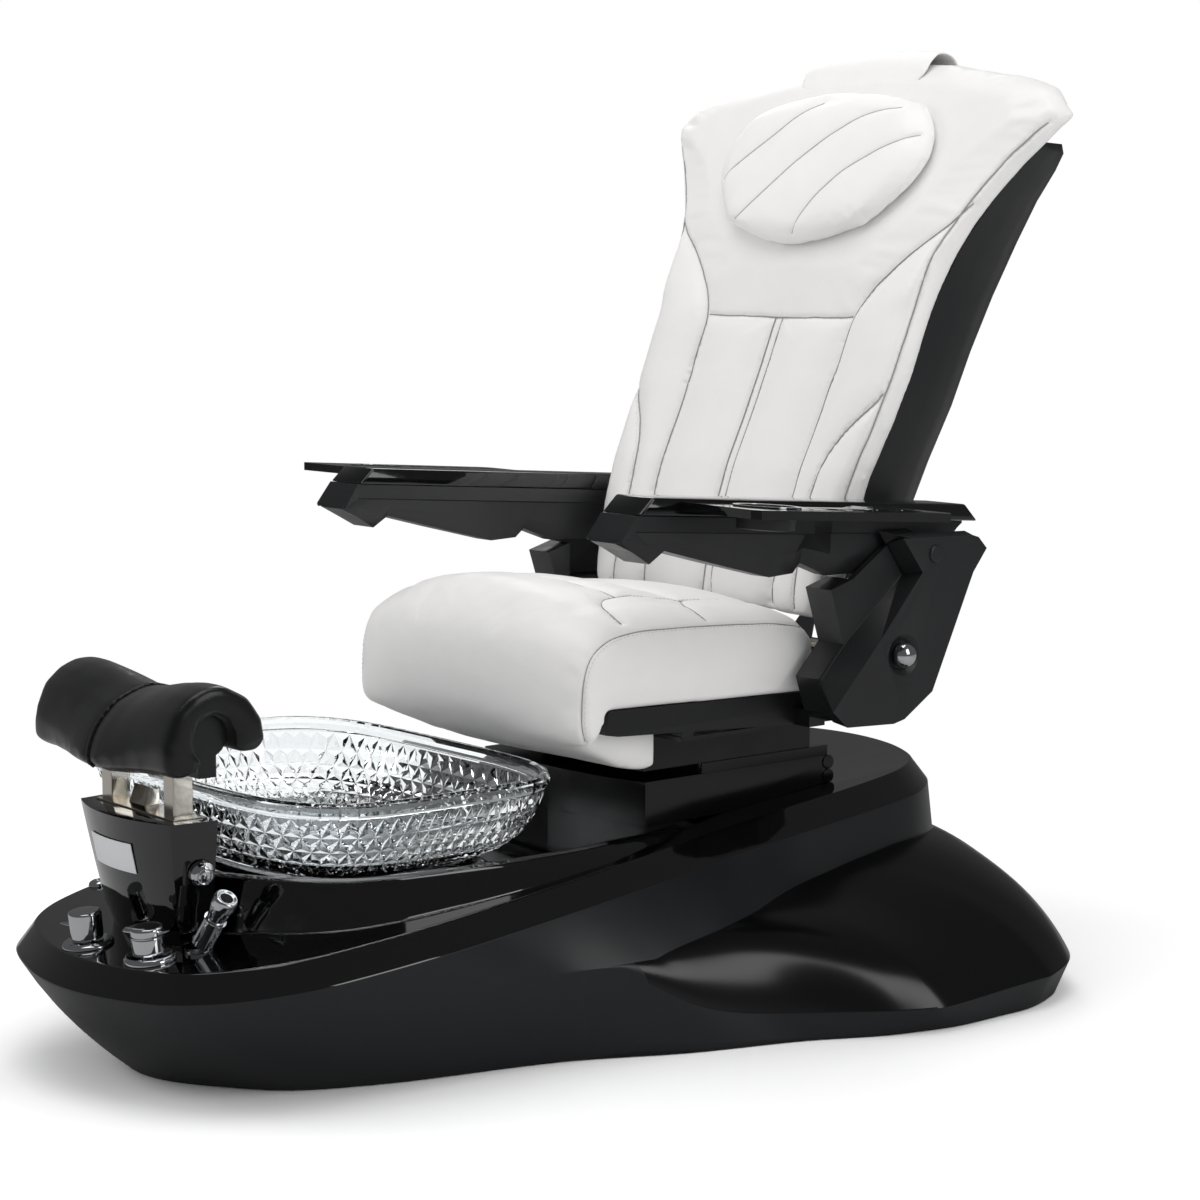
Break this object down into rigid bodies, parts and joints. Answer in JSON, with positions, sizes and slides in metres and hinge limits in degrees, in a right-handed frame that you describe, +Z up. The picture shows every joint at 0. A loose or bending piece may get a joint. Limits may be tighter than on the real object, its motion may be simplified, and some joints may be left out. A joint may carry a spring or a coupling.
{
  "type": "pedicure spa chair",
  "caption": "Free-standing foot spa chair: padded reclining seat that slides on a pedestal, lifting arms with fold-up trays, glass foot bowl with taps, and a footrest on posts.",
  "frame": {"origin": "on the floor, at the middle of the base's length and width", "axes": "+Z up, -Y towards the foot bowl and the way the sitter faces, +X to the sitter's left"},
  "size_m": [1.06, 1.544, 1.3724],
  "materials": {
    "gloss_black": "gloss",
    "matte_black": "matte",
    "clear_glass": "cut",
    "chrome": "polished",
    "bright_metal": "satin",
    "pale_plate": "satin",
    "white_leather": "soft satin",
    "black_vinyl": "soft gloss",
    "black_metal": "satin",
    "frame_steel": "satin",
    "motor_grey": "satin",
    "pipe_grey": "matte",
    "valve_brass": "cast"
  },
  "bodies": {
    "base": {"base_shell": "gloss_black", "bowl": "clear_glass", "drain": "chrome", "tower": "gloss_black", "tower_plate": "bright_metal", "label_plate": "pale_plate", "hot_escutcheon": "chrome", "cold_escutcheon": "chrome", "air_nozzle": "chrome", "spray_holder": "chrome", "pedestal": "gloss_black", "base_frame": "frame_steel", "levelling_foot_front_left": "frame_steel", "levelling_foot_front_right": "frame_steel", "levelling_foot_rear_left": "frame_steel", "levelling_foot_rear_right": "frame_steel", "drain_pipe": "pipe_grey", "discharge_pump": "motor_grey", "mixing_valve_hot": "valve_brass", "mixing_valve_cold": "valve_brass", "transformer_box": "motor_grey", "slide_motor": "motor_grey", "lead_screw": "bright_metal"},
    "footrest": {"post_left": "bright_metal", "post_right": "bright_metal", "footrest_bracket": "black_metal", "footrest_cushion": "black_vinyl"},
    "hot_tap": {"hot_knob": "chrome"},
    "cold_tap": {"cold_knob": "chrome"},
    "diverter": {"diverter_knob": "chrome"},
    "sprayer": {"hand_sprayer": "chrome"},
    "seat": {"slide_box": "black_metal", "seat_frame": "black_metal", "seat_cushion": "white_leather", "side_shell_left": "matte_black", "side_shell_right": "matte_black", "hinge_shaft": "bright_metal", "recline_motor": "motor_grey"},
    "control_left": {"control_knob_left": "chrome"},
    "control_right": {"control_knob_right": "chrome"},
    "armrest_left": {"arm_left": "matte_black", "arm_cap_left": "gloss_black", "pivot_cap_left": "matte_black"},
    "armrest_right": {"arm_right": "matte_black", "arm_cap_right": "gloss_black", "pivot_cap_right": "matte_black"},
    "side_tray_left": {"tray_left": "gloss_black", "cup_ring_left": "chrome"},
    "side_tray_right": {"tray_right": "gloss_black", "cup_ring_right": "chrome"},
    "backrest": {"back_cushion": "white_leather", "back_shell": "matte_black", "back_frame": "frame_steel", "headrest_strap": "white_leather"},
    "headrest": {"headrest_pillow": "white_leather"},
    "recline_push_rod": {"recline_rod": "bright_metal"}
  },
  "joints": [
    {"name": "seat_slide", "type": "slide", "parent": "base", "child": "seat", "axis": [0, 1, 0], "range_m": [0, 0.15]},
    {"name": "recline", "type": "hinge", "parent": "seat", "child": "backrest", "pos_m": [0, 0.36, 0.5], "axis": [-1, 0, 0], "range_deg": [-5, 30]},
    {"name": "recline_rod_slide", "type": "slide", "parent": "seat", "child": "recline_push_rod", "axis": [0, 1, 0], "range_m": [-0.0336, 0.0057]},
    {"name": "headrest_flip", "type": "hinge", "parent": "backrest", "child": "headrest", "pos_m": [0, 0.62874, 1.306], "axis": [-1, 0, 0], "range_deg": [0, 60]},
    {"name": "footrest_height", "type": "slide", "parent": "base", "child": "footrest", "axis": [0, 0, 1], "range_m": [-0.03, 0.06]},
    {"name": "hot_tap_turn", "type": "hinge", "parent": "base", "child": "hot_tap", "pos_m": [0.105, -0.69003, 0.1799], "axis": [0, -0.0995, 0.995], "range_deg": [0, 90]},
    {"name": "cold_tap_turn", "type": "hinge", "parent": "base", "child": "cold_tap", "pos_m": [-0.022, -0.70803, 0.1781], "axis": [0, -0.0995, 0.995], "range_deg": [0, 90]},
    {"name": "diverter_turn", "type": "hinge", "parent": "base", "child": "diverter", "pos_m": [0.11375, -0.61835, 0.28265], "axis": [0.9743, -0.1587, -0.1596], "range_deg": [0, 90]},
    {"name": "sprayer_lift", "type": "slide", "parent": "base", "child": "sprayer", "axis": [0.5793, 0.0999, 0.809], "range_m": [0, 0.07]},
    {"name": "arm_lift_left", "type": "hinge", "parent": "seat", "child": "armrest_left", "pos_m": [0.323, 0.43, 0.642], "axis": [-1, 0, 0], "range_deg": [0, 50]},
    {"name": "tray_fold_left", "type": "hinge", "parent": "armrest_left", "child": "side_tray_left", "pos_m": [0.3628, 0.137, 0.72909], "axis": [0, -0.9976, 0.0698], "range_deg": [0, 90]},
    {"name": "control_push_left", "type": "slide", "parent": "seat", "child": "control_left", "axis": [-1, 0, 0], "range_m": [0, 0.003], "stiffness_N_per_m": 500},
    {"name": "arm_lift_right", "type": "hinge", "parent": "seat", "child": "armrest_right", "pos_m": [-0.323, 0.43, 0.642], "axis": [-1, 0, 0], "range_deg": [0, 50]},
    {"name": "tray_fold_right", "type": "hinge", "parent": "armrest_right", "child": "side_tray_right", "pos_m": [-0.3628, 0.137, 0.72909], "axis": [0, 0.9976, -0.0698], "range_deg": [0, 90]},
    {"name": "control_push_right", "type": "slide", "parent": "seat", "child": "control_right", "axis": [1, 0, 0], "range_m": [0, 0.003], "stiffness_N_per_m": 500}
  ],
  "couplings": [
    {"joint": "recline_rod_slide", "follows": "recline", "m_per_rad": -0.064}
  ]
}
